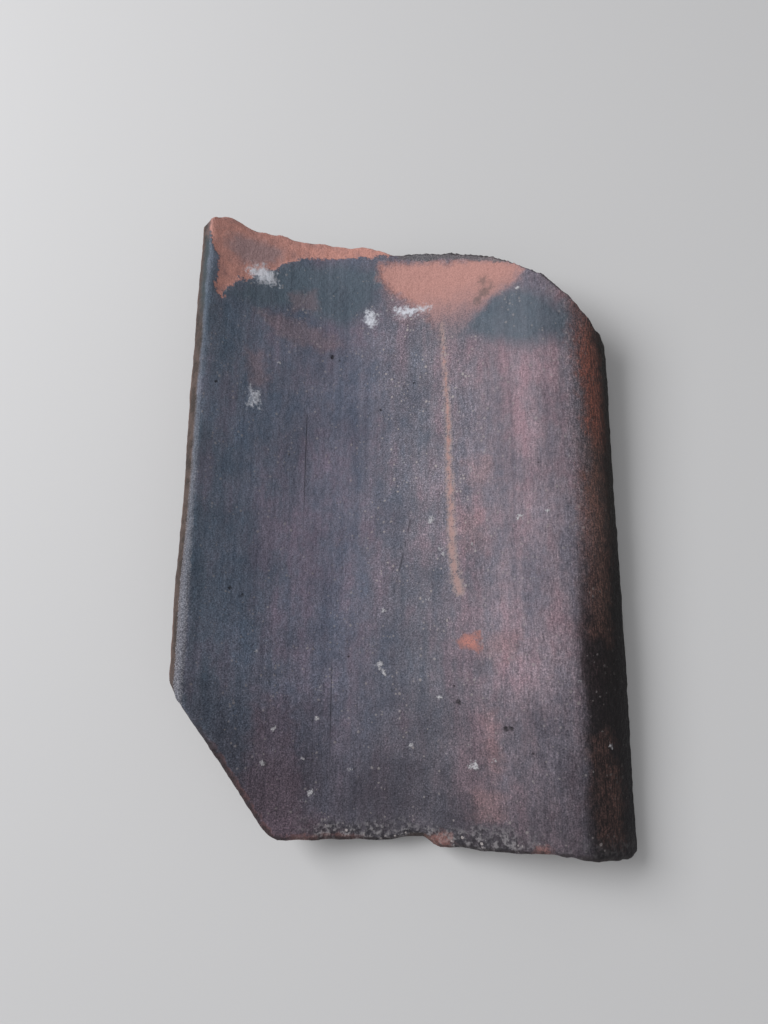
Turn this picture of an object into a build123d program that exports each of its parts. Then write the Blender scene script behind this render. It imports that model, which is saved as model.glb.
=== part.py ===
from build123d import *
from math import acos, asin, atan, atan2, cos, degrees, hypot, radians, sin, sqrt, tan
import os

# A single-lap clay pantile, fired in one piece. All sizes are in mm.
# While it is drawn, X runs across from the upturned edge to the roll, Y from the tail to the head, and Z up from
# the lowest line of the pan's underside. At the end it is turned to lie as it rests on a level floor.

# Section, from the upturned edge to the free edge of the roll
thickness = 13.0
pan_radius = 127.0          # of the pan, at mid thickness
edge_slope = 40.1           # degrees, where the pan ends in the upturned edge
flank_slope = 30.6          # degrees, where the pan runs out into the straight flank
flank_length = 43.5
roll_radius = 28.2          # of the roll, at mid thickness
roll_sweep = 68.0           # degrees from the crest down to the roll's free edge
long_arris = 2.5            # wear on the two long edges

# Outline seen from above
length = 345.0              # along the upturned edge
tail_cut_width = 54.0       # mitre at the tail, on the side of the upturned edge
tail_cut_length = 80.0
cut_corner = 14.0           # rounding of the mitre into the tail
shoulder_x = 92.0           # where the head's worn, rounded mitre begins
shoulder_length = 83.0
head_fall = 5.5             # the head edge falls away towards the shoulder
tail_arris = 1.6            # wear round the tail and its mitre, which lay in the weather
head_arris = 0.8            # wear round the head and its shoulder, which the next course covered

# Chip out of the upper edge of the tail
chip_x = 127.0
chip_width = 20.0
chip_depth = 4.8
chip_sphere = 16.0          # radius of the hollow it leaves

# Nib under the head, which hangs the tile on its batten
nib_width = 36.0            # where it leaves the pan
nib_length = 20.0
nib_foot_width = 30.0
nib_foot_length = 16.0
nib_depth = 14.0
nib_root = 4.0              # fillet between the nib and the pan
nib_inset = 2.0             # from that fillet to the head edge
nib_corner = 4.0            # rounding of its upright corners
nib_round = 2.5             # wear round its foot

# Centres of the section's two circles, with the outer corner of the upturned edge at X 0
half = thickness / 2
pan_under = pan_radius + half
pan_x = pan_under * sin(radians(edge_slope))
pan_z = pan_under
radii = pan_radius + roll_radius
roll_x = pan_x + radii * sin(radians(flank_slope)) + flank_length * cos(radians(flank_slope))
roll_z = pan_z - radii * cos(radians(flank_slope)) + flank_length * sin(radians(flank_slope))
crest_height = roll_z + roll_radius + half
width = roll_x + (roll_radius + half) * sin(radians(roll_sweep))

# Arc of the worn shoulder, which leaves the head edge smoothly and ends on the roll's free edge
head_slope = atan(head_fall / shoulder_x)
shoulder_y = length - head_fall
shoulder_dx = width - shoulder_x
shoulder_dy = shoulder_length - head_fall
shoulder_turn = 2 * (atan(shoulder_dy / shoulder_dx) - head_slope)
shoulder_radius = hypot(shoulder_dx, shoulder_dy) / (2 * sin(shoulder_turn / 2))
shoulder_centre = (shoulder_x - shoulder_radius * sin(head_slope), shoulder_y - shoulder_radius * cos(head_slope))

# The nib stands in the middle of the pan, clear of the worn head edge
nib_reach = pan_x + nib_width / 2 + nib_root
head_y = shoulder_centre[1] + sqrt(shoulder_radius**2 - (nib_reach - shoulder_centre[0]) ** 2)
bearing_y = head_y - head_arris - nib_inset - nib_root - nib_length


def section_line(offset):
    """The pan's arc, the straight flank and the roll's arc, this far above mid thickness."""
    pan = CenterArc((pan_x, pan_z), pan_radius - offset, -90 - edge_slope, edge_slope + flank_slope)
    roll = CenterArc((roll_x, roll_z), roll_radius + offset, 90 + flank_slope, -flank_slope - roll_sweep)
    return [pan, Line(pan @ 1, roll @ 0), roll]


def s_body():
    """The S-shaped section with worn corners, extruded from tail to head."""
    with BuildPart() as body:
        with BuildSketch(Plane.XZ) as section:
            with BuildLine():
                top = section_line(half)
                under = section_line(-half)
                Line(top[0] @ 0, under[0] @ 0)
                Line(top[2] @ 1, under[2] @ 1)
            make_face()
            across = section.vertices().sort_by(Axis.X)
            fillet(across[:2] + across[-2:], long_arris)
        extrude(amount=-length)
    return body.part


def outline():
    """The tile seen from above: mitred tail, head falling away a little, and shoulder worn to an arc.

    Its sides pass clear of the section, whose own ends are the tile's two long edges.
    """
    clear = thickness
    head_left = (-clear, length + clear * tan(head_slope))
    cut_left = (-clear, tail_cut_length * (1 + clear / tail_cut_width))
    with BuildSketch() as plan:
        with BuildLine():
            Polyline(head_left, cut_left, (tail_cut_width, 0), (width, 0))
            Line(head_left, (shoulder_x, shoulder_y))
            worn = CenterArc(shoulder_centre, shoulder_radius, 90 - degrees(head_slope), -degrees(shoulder_turn))
            beyond = worn @ 1 + clear * (worn % 1)
            Polyline(worn @ 1, beyond, (beyond.X, 0), (width, 0))
        make_face()
        fillet(plan.vertices().sort_by_distance((tail_cut_width, 0))[0], cut_corner)
    return plan.sketch


def worn_rims(part, side, radius):
    """Wear all round the upright faces that the outline cut, on this side of mid length."""
    rims = []
    for face in part.faces().filter_by(lambda f: abs(f.normal_at().Z) < 0.01):
        if side * (face.center().Y - length / 2) > 0:
            rims += face.edges().filter_by(lambda e: abs((e % 0.5).Z) < 0.9)
    return fillet(rims, radius)


def nib():
    """A drafted lug, sunk to mid thickness in the pan, with its bearing face square to the tile."""
    root = nib_width / 2
    foot = nib_foot_width / 2
    along = [(0, half), (0, -nib_depth), (nib_foot_length, -nib_depth), (nib_length, half)]
    across = [(-root, half), (-foot, -nib_depth), (foot, -nib_depth), (root, half)]
    with BuildPart() as lug:
        with BuildSketch(Plane.YZ.offset(pan_x)):
            Polygon([(bearing_y + y, z) for y, z in along], align=None)
        extrude(amount=root, both=True)
        with BuildSketch(Plane.XZ):
            Polygon([(pan_x + x, z) for x, z in across], align=None)
        extrude(amount=-length, mode=Mode.INTERSECT)
        fillet(lug.edges().filter_by(lambda e: abs((e % 0.5).Z) > 0.5), nib_corner)
        fillet(lug.faces().sort_by(Axis.Z)[0].edges(), nib_round)
    return lug.part


def chip():
    """The ball whose hollow, where it meets the upper edge of the tail, is the chip."""
    circle = (chip_depth**2 + (chip_width / 2) ** 2) / (2 * chip_depth)
    surface = pan_z - sqrt((pan_radius - half) ** 2 - (chip_x - pan_x) ** 2)
    rise = sqrt(chip_sphere**2 - circle**2)
    return Pos(chip_x, chip_depth - circle, surface + rise) * Sphere(chip_sphere)


def roll_to_touch(side):
    """Degrees that the pan rolls on its round underside until this corner of the roll's edge touches the floor."""
    radius = roll_radius + side * (half - long_arris)
    angle = radians(roll_sweep) - asin(long_arris / radius)
    x = roll_x + radius * sin(angle) - pan_x
    z = roll_z + radius * cos(angle) - pan_z
    return degrees(atan2(x, -z) - acos((pan_under - long_arris) / hypot(x, z)))


def pitch_to_touch(turned):
    """Degrees that the rolled tile pitches about its tail until the nib's foot touches the floor."""
    foot_x = nib_foot_width / 2 - nib_round
    foot_z = nib_round - nib_depth - pan_z
    drop = foot_x * sin(radians(turned)) - foot_z * cos(radians(turned)) + nib_round - pan_under
    return degrees(atan(drop / (bearing_y + nib_round - tail_arris)))


# The tile is cut out of the S-shaped body, then its nib is joined and its chip taken out
slab = s_body() & extrude(outline(), crest_height + thickness)
slab = worn_rims(slab, -1, tail_arris)
slab = worn_rims(slab, 1, head_arris)
lug = nib()
tile = slab + lug
tile = fillet(new_edges(slab, lug, combined=tile), nib_root)
tile = tile - chip()

# It rests on the tail's underside, on the free edge of the roll at the tail, and on the foot of the nib
rest_roll = min(roll_to_touch(-1), roll_to_touch(1))
tile = tile.rotate(Axis.Y, rest_roll).rotate(Axis.X, pitch_to_touch(rest_roll))

# Its origin is on the floor, under the middle of the resting tile
box = tile.bounding_box()
tile = Pos(-box.center().X, -box.center().Y, -box.min.Z) * tile

os.makedirs("parts", exist_ok=True)
export_step(tile, "parts/tile.step")
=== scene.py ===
from math import cos, radians, sin
from types import SimpleNamespace

import bmesh
import bpy
import numpy as np
from mathutils import Matrix, Vector


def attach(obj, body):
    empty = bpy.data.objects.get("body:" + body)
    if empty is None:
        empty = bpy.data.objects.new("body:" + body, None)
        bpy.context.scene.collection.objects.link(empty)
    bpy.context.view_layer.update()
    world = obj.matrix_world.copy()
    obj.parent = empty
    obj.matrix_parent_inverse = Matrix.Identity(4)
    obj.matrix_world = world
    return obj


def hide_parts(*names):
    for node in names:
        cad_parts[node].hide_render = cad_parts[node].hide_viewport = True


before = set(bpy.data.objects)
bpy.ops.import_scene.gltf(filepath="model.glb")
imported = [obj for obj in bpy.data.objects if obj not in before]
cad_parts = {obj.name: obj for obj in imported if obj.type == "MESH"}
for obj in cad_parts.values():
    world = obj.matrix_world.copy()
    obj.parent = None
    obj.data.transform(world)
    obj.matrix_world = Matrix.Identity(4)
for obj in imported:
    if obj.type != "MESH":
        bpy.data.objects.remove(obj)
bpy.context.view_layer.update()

# The weathered look of an old single-lap clay pantile: slate-grey skin, torn clay at the head, worn edges.
# Places on the tile are in mm in its own frame: X runs from the upturned edge to the roll, Y from the tail to
# the head, and Z up from the lowest line of the pan. Everything else is in metres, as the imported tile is.
MM = 0.001

# How the tile lies at rest, pitched and then rolled, with its own origin here
TURN = Matrix.Rotation(radians(2.3139), 4, "X") @ Matrix.Rotation(radians(14.2736), 4, "Y")
ORIGIN = Vector((-0.12217, -0.17161, 0.02527))
AS_IT_RESTS = Matrix.Translation(ORIGIN) @ TURN

# Section of the tile, with its radii at mid thickness
THICKNESS = 13.0
PAN_RADIUS = 127.0
EDGE_SLOPE = radians(40.1)      # where the pan ends in the upturned edge
FLANK_SLOPE = radians(30.6)     # where the pan runs out into the straight flank
FLANK_LENGTH = 43.5
ROLL_RADIUS = 28.2
ROLL_SWEEP = radians(68.0)      # from the crest down to the roll's free edge
LENGTH = 345.0                  # along the upturned edge

# The middles of the section's two circles, the foot of the flank, and the width that they give
PAN_X = (PAN_RADIUS + THICKNESS / 2) * sin(EDGE_SLOPE)
PAN_Z = PAN_RADIUS + THICKNESS / 2
FLANK_X = PAN_X + PAN_RADIUS * sin(FLANK_SLOPE)
FLANK_Z = PAN_Z - PAN_RADIUS * cos(FLANK_SLOPE)
ROLL_X = FLANK_X + FLANK_LENGTH * cos(FLANK_SLOPE) + ROLL_RADIUS * sin(FLANK_SLOPE)
ROLL_Z = FLANK_Z + FLANK_LENGTH * sin(FLANK_SLOPE) - ROLL_RADIUS * cos(FLANK_SLOPE)
WIDTH = ROLL_X + (ROLL_RADIUS + THICKNESS / 2) * sin(ROLL_SWEEP)

# The piece's own faces, and how it is worn
GRID = 1.5                      # spacing of its faces
MERGE = 0.01                    # vertices nearer than this are one
ENDS = 60.0                     # from the tile's middle to where its two ends begin
STRIP = 2.0                     # width of clay taken hold of at each place of a worn edge
LIP = 2.5                       # how much of the strip's end is taken hold of
HEAD_REACH = 7.0                # how far round the strip the clay follows at the head
TAIL_REACH = 6.0                # and at the tail
ARRIS_ROUNDS = 6                # rounds of smoothing that tell the edges from the faces
ARRIS_DEPTH = 0.9               # that a sharp edge would lose to them
UPPER_FACE = 4.5                # above mid thickness, from where the skin's relief counts
ARRIS_WEAR_AND_HIGHLIGHT = (7.4, 40.2)        # middle of the pale band on the upturned edge's arris, part wear and part painted highlight, across and up
FAR = 20.0                      # beyond this the fields hold no distance
FAINT = 0.004                   # a weight that is left out

# Half widths of the pale band on the upturned edge, part wear and part painted highlight, and of the streak:
# what each is near the head, how much it gains with each mm from there to the tail, and where it is that wide
BAND_SPREAD = (1.4, 0.012, 270.0)
BAND_LIMITS = (1.2, 3.6)
STREAK_SPREAD = (1.0, 0.010, 280.0)

# Where the worn edges lie now, as places across and along
HEAD_LINE = [(1.5, 341.8), (5, 342.2), (9, 343.2), (13, 345.2), (17, 347.0), (21, 347.6), (25, 346.2),
             (29, 344.8), (37, 345.2), (45, 345.2), (52, 344.4), (60, 344.0), (69, 343.8), (76, 343.5),
             (82, 343.0), (87, 341.4), (92, 342.0), (97, 342.0), (103, 340.4), (108, 338.8), (113, 336.4),
             (117, 334.4), (122, 333.6), (130, 332.4), (142, 329.4), (151, 326.3), (160, 323.0),
             (169, 318.6), (176, 314.0), (183, 308.8), (190, 303.4), (197, 297.8), (204, 291.6),
             (211, 284.6), (218, 277.6), (225, 270.6)]
TAIL_LINE = [(60, -0.2), (68, 0.4), (76, -0.3), (84, 0.5), (92, 0.0), (99, 0.9), (106, 0.3), (113, 0.7),
             (119, 1.6), (124, 2.3), (129, 2.0), (133, 2.4), (137, -0.6), (143, -0.8), (150, 0.2),
             (158, -0.4), (166, 0.1), (175, 0.5), (183, 1.5), (190, 2.1), (197, 1.5), (204, -0.4),
             (212, -1.2), (220, -1.4), (227, -1.6)]

# Outlines of the marks on the upper face, as places across and along
OUTLINES = {
    # Bare clay: the torn corner at the head with its smoky middle, the scuff beside it with old skin left
    # along its rim, a flake off the flank, and breaks along the tail
    "torn": [[(0, 350), (30, 350), (57, 348), (85, 347), (107, 344), (116, 334), (85, 333), (59, 331),
              (50, 326), (41, 318), (31, 311), (24, 309), (19, 302), (16, 293), (12, 295), (13, 307),
              (13, 318), (9, 328), (4, 336)]],
    "dusky": [[(17, 328), (20, 336), (35, 337), (48, 334), (43, 324), (25, 319)]],
    "salmon": [[(106, 329), (142, 324), (146, 320), (150, 321), (174, 314), (182, 309), (185, 303),
                (181, 297), (170, 291), (158, 280), (150, 266), (144, 262), (139, 276), (134, 289),
                (125, 299), (114, 308), (106, 319)]],
    "old_skin": [[(114, 344), (150, 336), (185, 314), (180, 309), (150, 322), (117, 330)]],
    "fleck": [[(148, 100), (153, 104), (157, 103), (160, 105), (159, 94), (155, 95), (151, 97)]],
    "broken": [[(131, -6), (133, 4), (139, 7), (145, 5), (147, -6)],
               [(180, -4), (182, 5), (188, 5), (190, -4)],
               [(62, -6), (63, 2), (72, 1), (74, -6)]],
    # Stains: the bluish band that the next course covered, then mauve, pale red, plum and rusty ones
    "lap": [[(16, 296), (34, 312), (51, 325), (75, 328), (104, 325), (109, 314), (106, 300), (86, 286),
             (60, 296), (38, 292)],
            [(149, 278), (160, 287), (169, 293), (182, 294), (202, 283), (214, 274), (208, 257), (184, 257),
             (166, 265), (151, 271)]],
    "mauve": [[(52, 305), (67, 309), (70, 297), (54, 294)],
              [(34, 291), (59, 289), (86, 276), (74, 270), (48, 276)],
              [(30, 264), (38, 265), (43, 245), (33, 244)],
              [(108, 316), (117, 307), (128, 297), (134, 287), (122, 284), (110, 296)]],
    "blush": [[(158, 104), (178, 103), (178, 90), (160, 91)],
              [(154, 196), (168, 198), (170, 184), (158, 182)],
              [(161, 66), (166, 66), (168, 36), (162, 36)],
              [(154, 27), (168, 28), (170, 15), (156, 13)],
              [(150, 168), (162, 168), (163, 146), (152, 145)]],
    "plum": [[(38, 22), (46, 64), (58, 74), (66, 50), (70, 14), (96, 3), (96, -6), (40, -6)]],
    "rust": [[(207, 284), (216, 284), (227, 257), (233, 232), (230, 196), (218, 194), (215, 225)],
             [(208, 52), (216, 56), (223, 40), (226, 24), (224, 6), (212, 8), (209, 31)],
             [(211, 186), (223, 190), (226, 140), (222, 96), (212, 104), (210, 140)]],
    # White deposits
    "wisps": [[(28, 317), (37, 321), (43, 317), (45, 310), (34, 309)],
              [(99, 297), (104, 295), (105, 290), (102, 287), (98, 291)],
              [(115, 297), (121, 296), (135, 295), (127, 292), (119, 291)],
              [(33, 241), (37, 240), (38, 231), (33, 231)]],
}

# Marks that follow a line: the bare streak below the scuff, and long scratches
LINES = {
    "streak": [[(142.5, 282), (143.5, 262), (145.5, 225), (146, 187), (147, 143), (150, 126)]],
    "scratch": [[(125, 167), (121, 147), (116, 126)],
                [(82, 145), (83, 80), (84, 20)],
                [(65, 231), (66, 127)]],
}

# Round spots of a place and a radius: a dark smudge on the scuff, pale crusts, and pits
SPOTS = {
    "smudge": [((165, 303), 2.6), ((165, 296), 3.2), ((161, 292), 2.0), ((169, 298), 1.6)],
    "crust": [((183, 292), 0.9), ((156, 39), 2.0), ((49, 38), 1.3), ((54, 55), 0.9), ((48, 260), 0.9),
              ((77, 75), 0.9), ((121, 201), 0.9), ((60, 170), 0.7), ((136, 166), 1.4), ((142, 146), 1.3),
              ((109, 88), 1.7), ((111, 84), 1.0), ((74, 23), 1.3), ((70, 18), 0.9), ((193, 164), 0.9),
              ((157, 150), 0.8), ((165, 41), 0.9), ((141, 149), 0.8), ((180, 162), 1.1), ((140, 72), 0.9),
              ((125, 47), 1.1), ((76, 60), 0.7), ((93, 34), 0.7), ((69, 40), 0.8), ((43, 94), 0.7),
              ((110, 117), 0.9), ((204, 79), 0.8), ((219, 50), 0.8), ((134, 122), 1.0), ((54, 44), 0.6)],
    "pit": [((149, 69), 1.4), ((147, 77), 0.8), ((171, 57), 1.2), ((173, 57), 1.2), ((29, 127), 0.9),
            ((35, 123), 0.8), ((92, 92), 0.6), ((128, 150), 0.6), ((79, 267), 1.3), ((83, 265), 0.6),
            ((108, 233), 0.7), ((127, 248), 0.6), ((56, 205), 0.5), ((182, 46), 0.7), ((96, 240), 0.4),
            ((73, 120), 0.5), ((190, 190), 0.6), ((150, 196), 0.5), ((16, 241), 0.6)],
}


def only(piece):
    """Makes this the one selected and active object."""
    if bpy.context.mode != "OBJECT":
        bpy.ops.object.mode_set(mode="OBJECT")
    bpy.ops.object.select_all(action="DESELECT")
    piece.select_set(True)
    bpy.context.view_layer.objects.active = piece


def apply_modifier(piece, name, kind, **settings):
    """Adds a modifier with these settings and applies it."""
    only(piece)
    modifier = piece.modifiers.new(name, kind)
    for key, value in settings.items():
        setattr(modifier, key, value)
    bpy.ops.object.modifier_apply(modifier=modifier.name)


def even_copy(node, name):
    """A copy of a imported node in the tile's own frame, merged and remeshed to even faces."""
    piece = bpy.data.objects.new(name, node.data.copy())
    bpy.context.collection.objects.link(piece)
    piece.data.transform(AS_IT_RESTS.inverted())
    only(piece)
    bpy.ops.object.mode_set(mode="EDIT")
    bpy.ops.mesh.select_all(action="SELECT")
    bpy.ops.mesh.remove_doubles(threshold=MERGE * MM)
    bpy.ops.object.mode_set(mode="OBJECT")
    apply_modifier(piece, "even_faces", "REMESH", mode="VOXEL", voxel_size=GRID * MM)
    return piece


def wear_edge(piece, line, side, reach):
    """Drags the clay of the head (side 1) or tail (side -1), on both faces, to where it now ends."""
    only(piece)
    bpy.ops.object.mode_set(mode="EDIT")
    for across, along in line:
        bpy.ops.mesh.select_all(action="DESELECT")
        shape = bmesh.from_edit_mesh(piece.data)
        strip = [v for v in shape.verts
                 if abs(v.co.x / MM - across) < STRIP / 2 and (v.co.y / MM - LENGTH / 2) * side > ENDS]
        end = max(v.co.y * side for v in strip)
        for vertex in strip:
            vertex.select = vertex.co.y * side > end - LIP * MM
        shape.select_flush_mode()
        bmesh.update_edit_mesh(piece.data)
        bpy.ops.transform.translate(value=(0, along * MM - end * side, 0), use_proportional_edit=True,
                                    proportional_edit_falloff="SMOOTH", proportional_size=reach * MM)
    bpy.ops.object.mode_set(mode="OBJECT")


def places(piece):
    """The vertices' places in mm, as an array."""
    flat = np.zeros(len(piece.data.vertices) * 3, np.float32)
    piece.data.vertices.foreach_get("co", flat)
    return flat.reshape(-1, 3) / MM


def above_middle(at):
    """How far each place lies above mid thickness, in mm: half the thickness on the upper face."""
    x, z = at[:, 0], at[:, 2]
    pan = PAN_RADIUS - np.hypot(x - PAN_X, z - PAN_Z)
    roll = np.hypot(x - ROLL_X, z - ROLL_Z) - ROLL_RADIUS
    flank = (z - FLANK_Z) * cos(FLANK_SLOPE) - (x - FLANK_X) * sin(FLANK_SLOPE)
    up_flank = (x - FLANK_X) * cos(FLANK_SLOPE) + (z - FLANK_Z) * sin(FLANK_SLOPE)
    return np.where(up_flank < 0, pan, np.where(up_flank > FLANK_LENGTH, roll, flank))


def from_side(x, y, start, end):
    """Distance in mm from the straight line between two places seen from above."""
    (ax, ay), (bx, by) = start, end
    share = np.clip(((x - ax) * (bx - ax) + (y - ay) * (by - ay)) / ((bx - ax) ** 2 + (by - ay) ** 2), 0, 1)
    return np.hypot(x - ax - share * (bx - ax), y - ay - share * (by - ay))


def inside(at, outline):
    """Signed distance in mm from a closed outline seen from above, positive inside."""
    x, y = at[:, 0], at[:, 1]
    sides = list(zip(outline, outline[1:] + outline[:1]))
    nearest = np.min([from_side(x, y, start, end) for start, end in sides], 0)
    within = np.zeros(len(at), bool)
    for (ax, ay), (bx, by) in sides:
        if ay != by:
            within ^= ((ay > y) != (by > y)) & (x < (bx - ax) * (y - ay) / (by - ay) + ax)
    return np.where(within, nearest, -nearest)


def in_outlines(at, outlines):
    """Signed distance in mm from the nearest of several outlines, positive inside."""
    return np.max([inside(at, outline) for outline in outlines], 0)


def near_lines(at, lines):
    """Distance in mm from the nearest of several open lines seen from above, as a negative number."""
    x, y = at[:, 0], at[:, 1]
    return -np.min([from_side(x, y, start, end) for line in lines for start, end in zip(line, line[1:])], 0)


def in_spots(at, spots):
    """Signed distance in mm from the nearest of these round spots, positive inside."""
    return np.max([radius - np.hypot(at[:, 0] - x, at[:, 1] - y) for (x, y), radius in spots], 0)


def half_width(at, width, gain, here):
    """Half the width in mm of a mark that is this wide here and gains this much with each mm to the tail."""
    return width + gain * (here - at[:, 1])


def marks(at):
    """How far each place lies inside each of the marks, in mm."""
    found = {}
    for measure, drawn in ((in_outlines, OUTLINES), (near_lines, LINES), (in_spots, SPOTS)):
        for name, shapes in drawn.items():
            found[name] = measure(at, shapes)
    found["streak"] += half_width(at, *STREAK_SPREAD)
    return found


def arris(piece, at):
    """How sharply the clay stands out at each vertex: 0 on a face, up to 1 along an edge."""
    mesh = piece.data
    pairs = np.zeros(len(mesh.edges) * 2, np.int32)
    mesh.edges.foreach_get("vertices", pairs)
    one, two = pairs.reshape(-1, 2).T
    count = np.bincount(one, minlength=len(at)) + np.bincount(two, minlength=len(at))
    normal = np.zeros(len(at) * 3, np.float32)
    mesh.vertices.foreach_get("normal", normal)
    smooth = at.astype(float)
    for _ in range(ARRIS_ROUNDS):
        total = [np.bincount(one, smooth[two, k], len(at)) + np.bincount(two, smooth[one, k], len(at))
                 for k in range(3)]
        smooth = np.transpose(total) / count[:, None]
    return np.clip(((at - smooth) * normal.reshape(-1, 3)).sum(1) / ARRIS_DEPTH, 0, 1)


def soft(values, width):
    """0 to 1 over this width around zero."""
    share = np.clip(values / width + 0.5, 0, 1)
    return share * share * (3 - 2 * share)


def keep_weights(piece, name, weights):
    """A vertex group with these weights."""
    group = piece.vertex_groups.new(name=name)
    for index in np.nonzero(weights > FAINT)[0]:
        group.add([int(index)], float(weights[index]), "REPLACE")
    return group.name


def keep_field(piece, name, values):
    """A field over the piece's vertices, for its material to read."""
    field = piece.data.attributes.new(name, "FLOAT", "POINT")
    field.data.foreach_set("value", np.clip(values, -FAR, FAR).astype(np.float32))


def clouds(name, size, depth=2):
    """A soft random texture for relief, with this size of lump in mm."""
    texture = bpy.data.textures.new(name, "CLOUDS")
    texture.noise_scale = size * MM
    texture.noise_depth = depth
    return texture


def relief(piece, name, height, texture=None, group="", middle=0.5, stretch=None):
    """Moves the skin in or out by up to this many mm, where the group's weights allow."""
    settings = {"strength": height * MM, "mid_level": middle, "vertex_group": group, "direction": "NORMAL"}
    if texture:
        settings["texture"] = texture
        settings["texture_coords"] = "LOCAL"
    if stretch:
        bpy.ops.object.select_all(action="DESELECT")
        bpy.ops.object.empty_add(location=(0, 0, 0))
        guide = bpy.context.active_object
        guide.scale = stretch
        bpy.context.view_layer.update()
        settings["texture_coords"] = "OBJECT"
        settings["texture_coords_object"] = guide
    apply_modifier(piece, name, "DISPLACE", **settings)
    if stretch:
        bpy.data.objects.remove(guide)


def weathered_pantile():
    """The tile as it is now: worn ends, torn and uneven skin, crusts and pits, with fields for its finish."""
    piece = even_copy(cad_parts["tile"], "weathered_pantile")
    wear_edge(piece, HEAD_LINE, 1, HEAD_REACH)
    wear_edge(piece, TAIL_LINE, -1, TAIL_REACH)
    at = places(piece)
    face = above_middle(at)
    edge = arris(piece, at)
    mark = marks(at)

    upper = soft(face - UPPER_FACE, 2.0)
    torn = np.minimum(np.maximum(mark["torn"], mark["salmon"]), -mark["old_skin"])
    crust = np.maximum(mark["crust"], mark["wisps"])
    on_upper = keep_weights(piece, "upper", upper)
    on_torn = keep_weights(piece, "torn", soft(torn - 0.5, 3.0) * upper)
    on_crust = keep_weights(piece, "crust", soft(crust - 0.5, 2.5) * upper)
    on_pits = keep_weights(piece, "pits", soft(mark["pit"] - 0.3, 3.0) * upper)
    on_edges = keep_weights(piece, "edges", edge)
    relief(piece, "unevenness", 1.3, clouds("broad_unevenness", 55, 1))
    relief(piece, "drawn_lines", 0.35, clouds("drawn_lines", 5), on_upper, stretch=(1, 22, 1))
    relief(piece, "gritty_skin", 0.4, clouds("grit", 3.2), on_upper)
    relief(piece, "torn_clay", -0.7, group=on_torn, middle=0.0)
    relief(piece, "torn_grain", 0.9, clouds("torn_grain", 4.5, 3), on_torn)
    relief(piece, "crust", 0.7, group=on_crust, middle=0.0)
    relief(piece, "pits", -1.0, group=on_pits, middle=0.0)
    relief(piece, "crumbled_edges", 1.9, clouds("crumbs", 6, 3), on_edges, middle=0.75)
    piece.vertex_groups.clear()

    # A pale band along the upturned edge's arris, part wear and part painted highlight
    band = np.clip(half_width(at, *BAND_SPREAD), *BAND_LIMITS)
    from_arris = np.hypot(at[:, 0] - ARRIS_WEAR_AND_HIGHLIGHT[0], at[:, 2] - ARRIS_WEAR_AND_HIGHLIGHT[1])
    for name, values in {"face": face, "arris": edge, "worn": soft(band - from_arris, 3.0), **mark}.items():
        keep_field(piece, name, values)
    piece.data.transform(AS_IT_RESTS)
    only(piece)
    bpy.ops.object.shade_smooth()
    return piece


class Nodes:
    """Adds nodes to one tree. Inputs are values, colours, or what other nodes give."""

    def __init__(self, tree):
        self.tree = tree

    def add(self, kind, inputs=None, **settings):
        """A node with these settings and inputs."""
        node = self.tree.nodes.new(kind)
        for key, value in settings.items():
            setattr(node, key, value)
        for key, value in (inputs or {}).items():
            socket = node.inputs[key]
            if isinstance(value, bpy.types.NodeSocket):
                self.tree.links.new(value, socket)
            elif socket.type == "RGBA":
                socket.default_value = (*value, 1.0)
            else:
                socket.default_value = value
        return node

    def math(self, operation, one, two=0.0, three=0.0):
        """The result of a Math node."""
        return self.add("ShaderNodeMath", {0: one, 1: two, 2: three}, operation=operation).outputs[0]

    def plus(self, one, two):
        """The sum of two values."""
        return self.math("ADD", one, two)

    def minus(self, one, two):
        """One value less another."""
        return self.math("SUBTRACT", one, two)

    def times(self, one, two):
        """One value times another."""
        return self.math("MULTIPLY", one, two)

    def line(self, value, slope, start):
        """The value times a slope, from a start."""
        return self.math("MULTIPLY_ADD", value, slope, start)

    def around(self, value, spread):
        """Noise swung about zero by this spread."""
        return self.times(self.minus(value, 0.5), spread)

    def remap(self, value, low, high, to_low=0.0, to_high=1.0):
        """The value eased from one range to another, and held at its ends."""
        return self.add("ShaderNodeMapRange", {"Value": value, "From Min": low, "From Max": high,
                                               "To Min": to_low, "To Max": to_high},
                        interpolation_type="SMOOTHSTEP").outputs["Result"]

    def stretched(self, where, along):
        """Places drawn together along the tile, so that a pattern on them is drawn out."""
        return self.add("ShaderNodeMapping", {"Vector": where, "Scale": (1.0, along, 1.0)}).outputs[0]

    def noise(self, where, scale, detail, rough):
        """Noise from 0 to 1, with this many lumps in a mm."""
        return self.add("ShaderNodeTexNoise", {"Vector": where, "Scale": scale, "Detail": detail,
                                               "Roughness": rough}).outputs["Fac"]

    def cloud(self, where, size, detail, rough, seed):
        """Noise with lumps of this size in mm, unlike the others."""
        shift = (seed, seed * 1.7, seed * 0.6)
        moved = self.add("ShaderNodeVectorMath", {0: where, 1: shift}, operation="ADD").outputs[0]
        return self.noise(moved, 1 / size, detail, rough)

    def mix(self, amount, one, two, blend="MIX"):
        """One colour mixed with another by this amount."""
        return self.add("ShaderNodeMix", {0: amount, 6: one, 7: two}, data_type="RGBA", blend_type=blend,
                        clamp_factor=True).outputs[2]

    def ramp(self, value, stops):
        """Colours by value, from stops of a value and a colour."""
        node = self.add("ShaderNodeValToRGB", {"Fac": value})
        points = node.color_ramp.elements
        while len(points) < len(stops):
            points.new(0.5)
        for point, (place, colour) in zip(points, stops):
            point.position = place
            point.color = (*colour, 1.0)
        return node.outputs["Color"]

    def tinted(self, colour, value, stops):
        """The colour multiplied by tints, from stops of a value and a tint."""
        return self.mix(1.0, colour, self.ramp(value, stops), "MULTIPLY")


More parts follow.
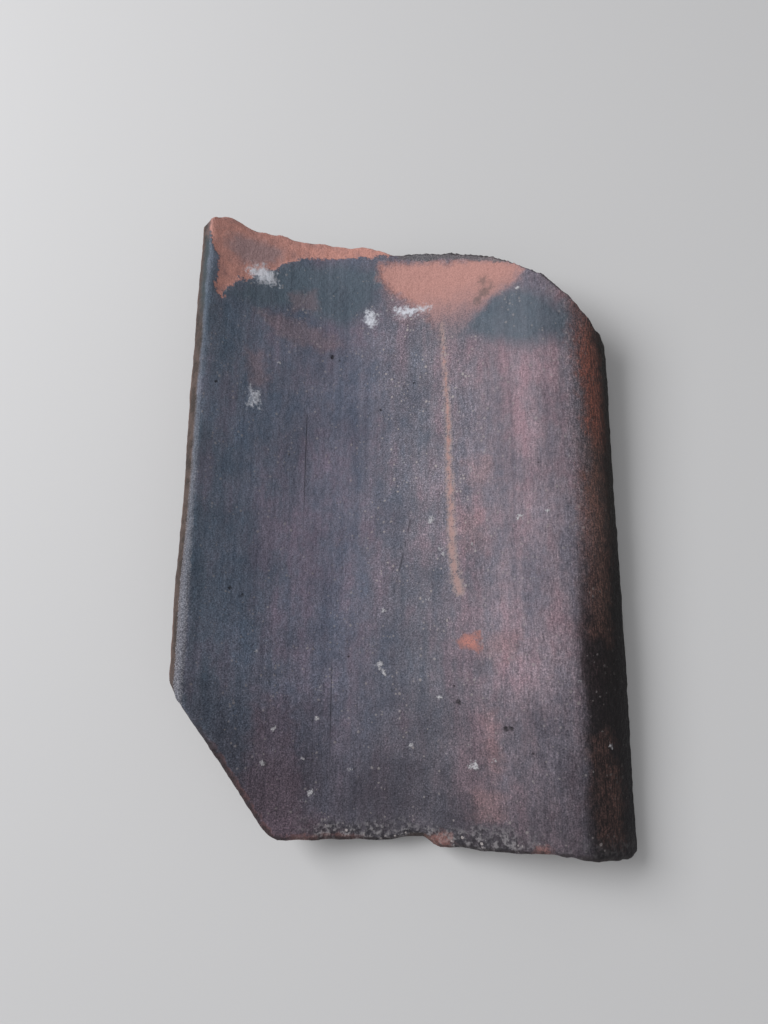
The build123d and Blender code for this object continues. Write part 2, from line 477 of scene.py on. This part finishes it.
def new_group(name, inputs, outputs):
    """A node group with these sockets: its nodes, what it is given and what it puts out."""
    tree = bpy.data.node_groups.new(name, "ShaderNodeTree")
    for label, kind, value in inputs:
        socket = tree.interface.new_socket(label, in_out="INPUT", socket_type=kind)
        if value is not None:
            socket.default_value = value
    for label in outputs:
        tree.interface.new_socket(label, in_out="OUTPUT", socket_type="NodeSocketFloat")
    return Nodes(tree), tree.nodes.new("NodeGroupInput").outputs, tree.nodes.new("NodeGroupOutput").inputs


def ragged_patch_group():
    """A patch with a ragged, grainy border, from the distance inside its outline in mm."""
    n, given, out = new_group(
        "Ragged Patch",
        [("Distance", "NodeSocketFloat", 0.0), ("Crumbs", "NodeSocketFloat", 0.5),
         ("Raggedness", "NodeSocketFloat", 3.0), ("Border", "NodeSocketFloat", 1.0)],
        ["Mask"])
    full_swing = 3.0    # noise keeps to the middle third of its range
    wander = n.around(given["Crumbs"], n.times(given["Raggedness"], full_swing))
    half = n.times(given["Border"], 0.5)
    n.tree.links.new(n.remap(n.plus(given["Distance"], wander), n.times(half, -1.0), half), out["Mask"])
    return n.tree


def clay_grain_group():
    """Sandy grain of fired clay: a fine light and dark mottle, pale grains of sand, and its height in mm."""
    n, given, out = new_group(
        "Clay Grain",
        [("Where", "NodeSocketVector", None), ("Grain", "NodeSocketFloat", 0.75),
         ("Sand", "NodeSocketFloat", 0.3)],
        ["Mottle", "Sand", "Height"])
    where = given["Where"]
    scale = n.math("DIVIDE", 1.0, given["Grain"])
    mottle = n.noise(where, scale, detail=1.0, rough=0.6)
    lumps = n.noise(where, n.times(scale, 0.28), detail=1.0, rough=0.5)
    clusters = n.noise(where, n.times(scale, 0.07), detail=2.0, rough=0.6)

    # Some cells, more of them in clusters, hold a grain of sand, each with a size of its own
    cells = n.add("ShaderNodeTexVoronoi", {"Vector": where, "Scale": n.times(scale, 0.42)})
    chance = n.add("ShaderNodeSeparateColor", {0: cells.outputs["Color"]}).outputs
    share = n.times(given["Sand"], n.remap(clusters, 0.42, 0.64, 0.2, 2.2))
    chosen = n.remap(n.minus(chance[0], n.minus(1.0, share)), 0.0, 0.06)
    width = n.line(n.math("POWER", chance[1], 2.0), 0.34, 0.12)
    uneven = n.line(n.minus(mottle, 0.5), 0.75, cells.outputs["Distance"])
    grains = n.times(n.remap(n.minus(uneven, width), 0.08, -0.04), chosen)
    height = n.line(lumps, 0.65, n.line(mottle, 0.30, n.times(grains, 0.12)))
    for label, value in (("Mottle", mottle), ("Sand", grains), ("Height", height)):
        n.tree.links.new(value, out[label])
    return n.tree


def drawn_lines_group():
    """Fine lines and short strokes that run along the tile, left by the mould and by rain."""
    n, given, out = new_group(
        "Drawn Lines",
        [("Where", "NodeSocketVector", None), ("Spacing", "NodeSocketFloat", 3.0)],
        ["Lines", "Strokes"])
    scale = n.math("DIVIDE", 1.0, given["Spacing"])
    lines = n.noise(n.stretched(given["Where"], 0.035), scale, detail=3.0, rough=0.6)
    strokes = n.noise(n.stretched(given["Where"], 0.22), n.times(scale, 4.0), detail=1.0, rough=0.6)
    n.tree.links.new(lines, out["Lines"])
    n.tree.links.new(strokes, out["Strokes"])
    return n.tree


RAGGED_PATCH = ragged_patch_group()
CLAY_GRAIN = clay_grain_group()
DRAWN_LINES = drawn_lines_group()

# The smoked skin's colours from the upturned edge, 0, to the free edge of the roll, 1; past the roll's crest
# they fall to near black, which is darker clay and painted shade on the roll's far side
SMOKED_SKIN_AND_FAR_SHADE = [
    (0.0, (0.118, 0.142, 0.180)), (0.08, (0.130, 0.155, 0.205)), (0.17, (0.128, 0.144, 0.192)),
    (0.27, (0.136, 0.138, 0.184)), (0.37, (0.142, 0.144, 0.192)), (0.47, (0.146, 0.143, 0.180)),
    (0.56, (0.162, 0.155, 0.187)), (0.67, (0.214, 0.182, 0.214)), (0.79, (0.232, 0.188, 0.220)),
    (0.875, (0.215, 0.180, 0.210)), (0.912, (0.134, 0.105, 0.114)), (0.938, (0.066, 0.048, 0.047)),
    (0.968, (0.014, 0.010, 0.009)), (1.0, (0.005, 0.004, 0.004))]

# Colours on the skin
RAIN_DARK = (0.058, 0.052, 0.066)
# Painted shade, near black, for the roll's far side towards the tail
FAR_SIDE_SHADE = (0.006, 0.005, 0.006)
LAP_BLUE = (0.092, 0.127, 0.160)
MAUVE = (0.225, 0.168, 0.190)
BLUSH = (0.330, 0.190, 0.185)
PLUM = (0.118, 0.077, 0.098)
DARK_RUST = (0.125, 0.066, 0.054)
BRIGHT_RUST = (0.195, 0.070, 0.052)
OLD_SKIN = (0.120, 0.112, 0.108)
DULL_SKIN = (0.086, 0.095, 0.122)
SAND = (0.42, 0.38, 0.38)
SCRATCHED = (0.036, 0.034, 0.044)
SMUDGED = (0.100, 0.092, 0.088)
WHITE_DEPOSIT = (0.66, 0.68, 0.75)
PALE_CRUST = (0.54, 0.53, 0.56)
PIT_DARK = (0.016, 0.015, 0.018)
CRUMBLED = [(0.38, (0.024, 0.022, 0.026)), (0.50, (0.064, 0.060, 0.068)), (0.61, (0.260, 0.245, 0.255))]

# Colours of bare clay
BRIGHT_CLAY = [(0.3, (0.430, 0.235, 0.215)), (0.5, (0.545, 0.275, 0.238)), (0.7, (0.640, 0.315, 0.262))]
DUSKY_CLAY = (0.330, 0.232, 0.242)
SCUFFED_CLAY = (0.485, 0.256, 0.228)
FADED_CLAY = (0.275, 0.190, 0.200)
STREAK_RIM = (0.390, 0.295, 0.280)
STREAK_CORE = (0.530, 0.285, 0.240)
FLECK_RIM = (0.340, 0.165, 0.150)
FLECK_CORE = (0.520, 0.215, 0.175)
BROKEN_CLAY = (0.320, 0.150, 0.130)
# The pale band along the upturned edge's arris: part wear, part painted highlight
WEAR_AND_HIGHLIGHT_CLAY = [(0.34, (0.085, 0.086, 0.104)), (0.5, (0.165, 0.168, 0.200)), (0.66, (0.310, 0.305, 0.340))]

# Colours of the rims and the underside
RAW_EDGE = (0.185, 0.088, 0.080)
# Painted shade along the edges
EDGE_SHADE = (0.034, 0.028, 0.030)
# Dark rim faces: part dirt, part painted shade
RIM_DIRT_AND_SHADE = ((0.034, 0.029, 0.030), (0.085, 0.066, 0.064))
BROWN_RIM = ((0.049, 0.037, 0.033), (0.102, 0.073, 0.065))
TEAL_RIM = (0.050, 0.066, 0.078)
TORN_RIM = (0.270, 0.150, 0.130)
BROKEN_RIM = (0.260, 0.132, 0.116)
UNDERSIDE = [(0.34, (0.078, 0.060, 0.058)), (0.5, (0.160, 0.104, 0.090)), (0.66, (0.240, 0.146, 0.120))]

# Tints that multiply a colour, where 1 leaves it as it is
PLAIN = (1.0, 1.0, 1.0)
WARM_AND_COOL = [(0.34, (0.82, 0.92, 0.96)), (0.50, PLAIN), (0.66, (1.20, 1.03, 1.03))]
CLOUDED = [(0.32, (0.83, 0.84, 0.86)), (0.5, PLAIN), (0.68, (1.18, 1.15, 1.15))]
SKIN_GRAIN = [(0.24, (0.46, 0.46, 0.48)), (0.5, (0.98, 0.98, 0.98)), (0.64, (1.32, 1.30, 1.28)),
              (0.80, (2.1, 2.0, 1.95))]
LINED = [(0.3, (0.86, 0.86, 0.88)), (0.5, PLAIN), (0.7, (1.11, 1.08, 1.08))]
BARE_GRAIN = [(0.25, (0.80, 0.78, 0.78)), (0.5, PLAIN), (0.75, (1.18, 1.20, 1.20))]
RIM_GRAIN = [(0.30, (0.70, 0.70, 0.70)), (0.5, PLAIN), (0.70, (1.40, 1.36, 1.34))]
UNDER_GRAIN = [(0.30, (0.66, 0.66, 0.66)), (0.5, PLAIN), (0.70, (1.42, 1.38, 1.35))]


def values_on_tile(n):
    """Where each point lies on the tile in mm, with the marks, clouds, grain and lines there."""
    coords = n.add("ShaderNodeTexCoord").outputs["Object"]
    where = n.add("ShaderNodeMapping", {"Vector": coords, "Location": ORIGIN,
                                        "Rotation": TURN.to_euler("XYZ"), "Scale": (MM, MM, MM)},
                  vector_type="TEXTURE").outputs[0]
    place = n.add("ShaderNodeSeparateXYZ", {"Vector": where}).outputs
    on = SimpleNamespace(across=place["X"], along=place["Y"])
    on.field = {name: n.add("ShaderNodeAttribute", attribute_name=name).outputs["Fac"]
                for name in ("face", "arris", "worn", *OUTLINES, *LINES, *SPOTS)}
    on.cloud = n.cloud(where, size=26, detail=3.0, rough=0.6, seed=3.0)
    on.long_cloud = n.cloud(n.stretched(where, 0.30), size=15, detail=3.0, rough=0.6, seed=5.0)
    on.small_cloud = n.cloud(where, size=7, detail=3.0, rough=0.65, seed=21.0)
    on.lumps = n.cloud(where, size=4.5, detail=3.0, rough=0.70, seed=9.0)
    on.crumbs = n.cloud(where, size=2.4, detail=2.0, rough=0.65, seed=31.0)
    on.grain = n.add("ShaderNodeGroup", {"Where": where, "Grain": 0.75, "Sand": 0.16},
                     node_tree=CLAY_GRAIN).outputs
    on.lines = n.add("ShaderNodeGroup", {"Where": where, "Spacing": 3.2}, node_tree=DRAWN_LINES).outputs
    return on


def patch(n, on, name, raggedness, crumbs, border):
    """The mask of one mark, with this raggedness and width of border in mm."""
    return n.add("ShaderNodeGroup", {"Distance": on.field[name], "Crumbs": crumbs, "Raggedness": raggedness,
                                     "Border": border}, node_tree=RAGGED_PATCH).outputs["Mask"]


def smoked_skin_and_far_shade(n, on):
    """Skin that changes colour across the section, near black past the roll's crest as darker clay and
    painted shade, that rain has left darker at the tail, and with painted shade on the roll's far side
    towards the tail.
    """
    calm = n.remap(on.across, 192.0, 210.0, 1.0, 0.3)
    wander = n.plus(n.around(on.cloud, 26.0), n.around(on.long_cloud, 22.0))
    on.wandering = n.plus(on.across, n.times(wander, calm))
    # Past the roll's crest the ramp falls to near black: darker clay and painted shade on the roll's far side
    skin = n.ramp(n.math("DIVIDE", on.wandering, WIDTH), SMOKED_SKIN_AND_FAR_SHADE)
    skin = n.tinted(skin, n.plus(on.long_cloud, n.around(on.small_cloud, 0.35)), WARM_AND_COOL)
    on.low = n.plus(on.along, n.around(on.cloud, 80.0))
    skin = n.mix(n.remap(on.low, 113.0, -10.0, 0.0, 0.86), skin, RAIN_DARK)
    # Painted shade: the roll's far side goes near black towards the tail
    far_side_shade = n.times(n.remap(on.wandering, 200.0, 210.0), n.remap(on.low, 165.0, 95.0))
    return n.mix(n.times(far_side_shade, 0.90), skin, FAR_SIDE_SHADE)


def stained(n, on, skin):
    """The bluish lap at the head, and mauve, pale red, plum and rusty stains."""
    on.lap = patch(n, on, "lap", 6.0, on.cloud, 13.0)
    skin = n.mix(n.times(on.lap, 0.82), skin, LAP_BLUE)
    for name, raggedness, border, strength, colour in (
            ("mauve", 3.4, 7.0, 0.55, MAUVE),
            ("blush", 4.0, 9.0, 0.26, BLUSH),
            ("plum", 5.0, 10.0, 0.45, PLUM)):
        mask = patch(n, on, name, raggedness, on.small_cloud, border)
        skin = n.mix(n.times(mask, strength), skin, colour)
    rust = n.times(patch(n, on, "rust", 7.0, on.small_cloud, 11.0),
                   n.remap(on.lines["Strokes"], 0.36, 0.62, 0.45, 1.0))
    rust = n.times(rust, n.times(n.remap(on.across, 231.0, 219.0),
                                 n.remap(on.along, 60.0, 225.0, 0.36, 0.90)))
    rust = n.times(rust, n.remap(on.along, 248.0, 272.0, 1.0, 0.55))
    skin = n.mix(rust, skin, n.mix(n.remap(on.along, 185.0, 220.0), DARK_RUST, BRIGHT_RUST))
    return n.mix(n.times(patch(n, on, "old_skin", 2.0, on.lumps, 1.5), 0.6), skin, OLD_SKIN)


def grained(n, on, skin):
    """Mottle, lines, sand and scratches, and the crumbly skin along the tail."""
    skin = n.tinted(skin, on.cloud, CLOUDED)
    middle = n.times(n.remap(on.wandering, 92.0, 122.0), n.remap(on.wandering, 172.0, 146.0))
    dull = n.times(middle, n.times(n.remap(on.along, 165.0, 120.0), n.remap(on.along, 58.0, 85.0)))
    skin = n.mix(n.times(dull, 0.32), skin, DULL_SKIN)
    gritty = n.times(middle, n.remap(on.low, 70.0, 190.0, 0.35, 1.0))

    # The grain is stronger on the gritty middle, the roll and the tail, and weaker under the next course
    strength = n.line(gritty, 0.50, 0.68)
    strength = n.plus(strength, n.remap(on.across, 200.0, 214.0, 0.0, 0.55))
    strength = n.plus(strength, n.times(n.remap(on.along, 190.0, 10.0),
                                        n.remap(on.across, 50.0, 110.0, 0.48, 0.26)))
    strength = n.minus(strength, n.times(on.lap, 0.30))
    stroked = n.remap(on.across, 120.0, 190.0, 0.20, 0.65)
    fine = n.plus(n.around(on.grain["Mottle"], 1.0), n.times(n.around(on.lines["Strokes"], 1.0), stroked))
    on.fine = n.plus(0.5, n.times(fine, strength))
    skin = n.tinted(skin, on.fine, SKIN_GRAIN)
    skin = n.tinted(skin, on.lines["Lines"], LINED)

    on.crumbly = n.times(n.remap(n.plus(on.along, n.around(on.small_cloud, 22.0)), 14.0, 3.0),
                         n.times(n.remap(on.across, 190.0, 166.0, 0.20, 1.0), n.remap(on.across, 62.0, 82.0)))
    skin = n.mix(n.times(on.crumbly, 0.75), skin, n.ramp(on.crumbs, CRUMBLED))
    sandy = n.math("MAXIMUM", n.remap(gritty, 0.0, 1.0, 0.35, 0.85), on.crumbly)
    sandy = n.times(sandy, n.remap(on.across, 222.0, 208.0, 0.20, 1.0))
    skin = n.mix(n.times(on.grain["Sand"], sandy), skin, SAND)
    on.scratch = n.remap(n.plus(on.field["scratch"], n.around(on.grain["Mottle"], 1.4)), -0.55, -0.05)
    return n.mix(n.times(on.scratch, 0.7), skin, SCRATCHED)


def laid_bare(n, on, skin):
    """Bare clay where the skin is torn off, scuffed, rubbed through or broken."""
    body = n.mix(n.times(patch(n, on, "dusky", 5.0, on.small_cloud, 8.0), 0.85),
                 n.ramp(on.small_cloud, BRIGHT_CLAY), DUSKY_CLAY)
    faded = n.mix(n.remap(n.plus(on.along, n.around(on.small_cloud, 16.0)), 309.0, 276.0),
                  SCUFFED_CLAY, FADED_CLAY)
    bare = n.mix(n.remap(on.across, 104.0, 112.0), body, faded)
    bare = n.tinted(bare, on.grain["Mottle"], BARE_GRAIN)
    thin = n.remap(n.plus(on.along, n.around(on.fine, 34.0)), 264.0, 298.0, 0.05, 1.0)
    torn = n.math("MAXIMUM", patch(n, on, "torn", 3.4, on.lumps, 1.6),
                  n.times(patch(n, on, "salmon", 3.4, on.lumps, 8.0), thin))
    on.torn = n.times(torn, n.minus(1.0, patch(n, on, "old_skin", 2.0, on.lumps, 1.2)))
    skin = n.mix(on.torn, skin, bare)
    skin = n.mix(n.times(patch(n, on, "smudge", 3.4, on.crumbs, 4.5), 0.55), skin, SMUDGED)

    patchy = n.remap(n.plus(on.lumps, n.around(on.fine, 0.9)), 0.28, 0.50, 0.2, 1.0)
    on.streak = n.times(patch(n, on, "streak", 1.8, on.crumbs, 3.0), patchy)
    core = n.times(n.remap(n.plus(on.field["streak"], n.around(on.lumps, 4.5)), 0.2, 2.0),
                   n.remap(on.along, 140.0, 235.0, 0.45, 1.0))
    skin = n.mix(n.times(on.streak, 0.75), skin, n.mix(core, STREAK_RIM, STREAK_CORE))
    fleck = n.times(patch(n, on, "fleck", 3.4, on.lumps, 2.8), n.remap(on.fine, 0.36, 0.50, 0.5, 1.0))
    core = n.remap(on.field["fleck"], 0.5, 3.0)
    skin = n.mix(n.times(fleck, 0.90), skin, n.mix(core, FLECK_RIM, FLECK_CORE))
    on.broken = n.times(patch(n, on, "broken", 3.0, on.lumps, 3.6), n.remap(on.fine, 0.38, 0.52, 0.45, 1.0))
    return n.mix(n.times(on.broken, 0.65), skin, BROKEN_CLAY)


def crusted(n, on, skin):
    """White wisps and pale crusts, then raw edges and painted shade along the other edges, and pits."""
    on.wisps = n.times(patch(n, on, "wisps", 4.4, on.crumbs, 5.0), n.remap(on.lumps, 0.32, 0.54, 0.25, 0.95))
    skin = n.mix(on.wisps, skin, WHITE_DEPOSIT)
    on.crust = n.times(patch(n, on, "crust", 2.0, on.crumbs, 1.3), n.remap(on.fine, 0.36, 0.52, 0.50, 1.0))
    skin = n.mix(n.times(on.crust, 0.90), skin, PALE_CRUST)
    raw_edge = n.times(n.remap(n.plus(on.field["arris"], n.around(on.lumps, 1.1)), 0.22, 0.52),
                       n.times(n.remap(on.along, 64.0, 34.0), n.remap(on.across, 108.0, 92.0)))
    raw_edge = n.times(raw_edge, n.remap(on.small_cloud, 0.40, 0.56, 0.15, 1.0))
    skin = n.mix(n.times(raw_edge, 0.50), skin, RAW_EDGE)
    # Painted shade along the sharp edges, left off the upturned edge and the torn clay
    edge_shade = n.times(n.remap(n.plus(on.field["arris"], n.around(on.lumps, 0.9)), 0.45, 0.95),
                        n.times(n.minus(1.0, on.torn), n.remap(on.across, 12.0, 22.0)))
    skin = n.mix(n.times(edge_shade, 0.75), skin, EDGE_SHADE)
    on.pit = patch(n, on, "pit", 0.7, on.crumbs, 0.9)
    return n.mix(n.times(on.pit, 0.85), skin, PIT_DARK)


def rims(n, on):
    """Dark rim faces, part dirt and part painted shade, and brown ones, teal with damp at the head and red
    where they are torn or broken.
    """
    # The dark rims are part dirt and part painted shade
    rim_dirt_and_shade = n.mix(n.remap(on.cloud, 0.38, 0.62), *RIM_DIRT_AND_SHADE)
    brown = n.mix(n.remap(on.small_cloud, 0.36, 0.62), *BROWN_RIM)
    teal = n.times(n.remap(n.plus(on.along, n.around(on.cloud, 90.0)), 252.0, 300.0),
                   n.remap(n.plus(on.depth, n.around(on.lumps, 6.0)), -3.5, 3.5))
    rim = n.mix(on.left_side, rim_dirt_and_shade, n.mix(teal, brown, TEAL_RIM))
    torn = n.times(n.remap(n.plus(on.field["torn"], n.around(on.small_cloud, 22.0)), -5.0, 5.0),
                   n.remap(on.field["face"], -5.0, 4.0, 0.0, 0.70))
    rim = n.mix(torn, rim, TORN_RIM)
    broken = n.times(on.broken, n.remap(on.field["face"], -2.0, 5.0, 0.0, 0.65))
    rim = n.mix(broken, rim, BROKEN_RIM)
    return n.tinted(rim, on.fine, RIM_GRAIN)


def joined(n, on, skin):
    """The skin on the upper face, the rims round it, the sheltered underside, and the pale band along the
    upturned left edge, part wear and part painted highlight.
    """
    on.left_side = n.times(n.remap(on.across, 14.0, 7.0), n.remap(on.along, 70.0, 90.0))
    on.depth = n.plus(on.field["face"], n.around(on.small_cloud, 4.0))
    colour = n.mix(n.remap(on.depth, 5.2, 3.2), skin, rims(n, on))
    under = n.tinted(n.ramp(on.cloud, UNDERSIDE), on.fine, UNDER_GRAIN)
    colour = n.mix(n.remap(n.minus(on.depth, on.left_side), -2.5, -6.5), colour, under)
    # The pale band along the upturned edge's arris: part wear, part painted highlight
    worn = n.plus(on.field["worn"], n.plus(n.around(on.lumps, 0.8), n.around(on.fine, 1.5)))
    worn = n.times(n.remap(worn, 0.25, 0.80), n.times(n.remap(on.field["worn"], 0.0, 0.25),
                                                      n.remap(on.along, 300.0, 90.0, 0.10, 0.85)))
    return n.mix(worn, colour, n.ramp(on.fine, WEAR_AND_HIGHLIGHT_CLAY))


def fine_height(n, on):
    """The height in mm of everything too fine for the mesh."""
    height = n.plus(on.grain["Height"], n.times(on.lines["Lines"], 0.30))
    for mask, rise in ((on.lines["Strokes"], 0.12), (on.scratch, -0.25), (on.torn, -0.35), (on.wisps, 0.2),
                       (on.crust, 0.3), (on.pit, -0.6), (on.streak, -0.15)):
        height = n.plus(height, n.times(mask, rise))
    return n.plus(height, n.times(n.times(on.crumbly, on.crumbs), 1.6))


def fired_clay():
    """The tile's one finish: smoked and weathered skin, torn and worn clay, and the sheltered underside, with
    painted shade on the roll's far side, the rims and the edges, and a painted highlight along the upturned
    edge.
    """
    material = bpy.data.materials.new("fired_clay")
    material.use_nodes = True
    material.node_tree.nodes.clear()
    n = Nodes(material.node_tree)
    on = values_on_tile(n)
    skin = stained(n, on, smoked_skin_and_far_shade(n, on))
    skin = grained(n, on, skin)
    skin = laid_bare(n, on, skin)
    skin = crusted(n, on, skin)
    colour = joined(n, on, skin)
    rough = n.plus(n.remap(on.grain["Mottle"], 0.3, 0.7, 0.60, 0.84),
                   n.times(n.math("MAXIMUM", on.torn, on.wisps), 0.12))
    bump = n.add("ShaderNodeBump", {"Height": fine_height(n, on), "Strength": 1.0, "Distance": MM})
    shader = n.add("ShaderNodeBsdfPrincipled", {"Base Color": colour, "Roughness": rough,
                                                "Specular IOR Level": 0.25, "Normal": bump.outputs["Normal"]})
    n.add("ShaderNodeOutputMaterial", {"Surface": shader.outputs["BSDF"]})
    return material


tile = weathered_pantile()
tile.data.materials.clear()
tile.data.materials.append(fired_clay())
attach(tile, "root")
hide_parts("tile")


def studio():
    """A plain pale floor under plain soft light."""
    bpy.ops.object.select_all(action="DESELECT")
    bpy.ops.mesh.primitive_plane_add(size=8.0, location=(0, 0, 0))
    floor = bpy.context.active_object
    floor.name = "studio_floor"
    paint = bpy.data.materials.new("pale_floor")
    paint.use_nodes = True
    surface = paint.node_tree.nodes["Principled BSDF"]
    surface.inputs["Base Color"].default_value = (0.60, 0.60, 0.61, 1.0)
    surface.inputs["Roughness"].default_value = 0.9
    floor.data.materials.append(paint)
    for name, place, size, power in (("key", (-1.15, 0.45, 1.35), 1.1, 27.0),
                                     ("fill", (0.9, -0.9, 1.6), 1.6, 6.0)):
        bpy.ops.object.light_add(type="AREA", location=place)
        lamp = bpy.context.active_object
        lamp.name = name
        lamp.data.size = size
        lamp.data.energy = power
        lamp.rotation_euler = (-Vector(place)).to_track_quat("-Z", "Y").to_euler()
    world = bpy.data.worlds.new("soft_room")
    world.use_nodes = True
    world.node_tree.nodes["Background"].inputs["Color"].default_value = (1.0, 1.0, 1.0, 1.0)
    world.node_tree.nodes["Background"].inputs["Strength"].default_value = 0.30
    bpy.context.scene.world = world
    bpy.context.scene.view_settings.view_transform = "Standard"


studio()

# The camera looks down on the tile from above its roll and tail
bpy.ops.object.camera_add(location=(0.086727, -0.113977, 0.407435),
                          rotation=(radians(16.300), radians(13.906), radians(1.181)))
camera = bpy.context.active_object
camera.data.lens = 26.056
camera.data.sensor_width = 36.0
bpy.context.scene.camera = camera

only(tile)
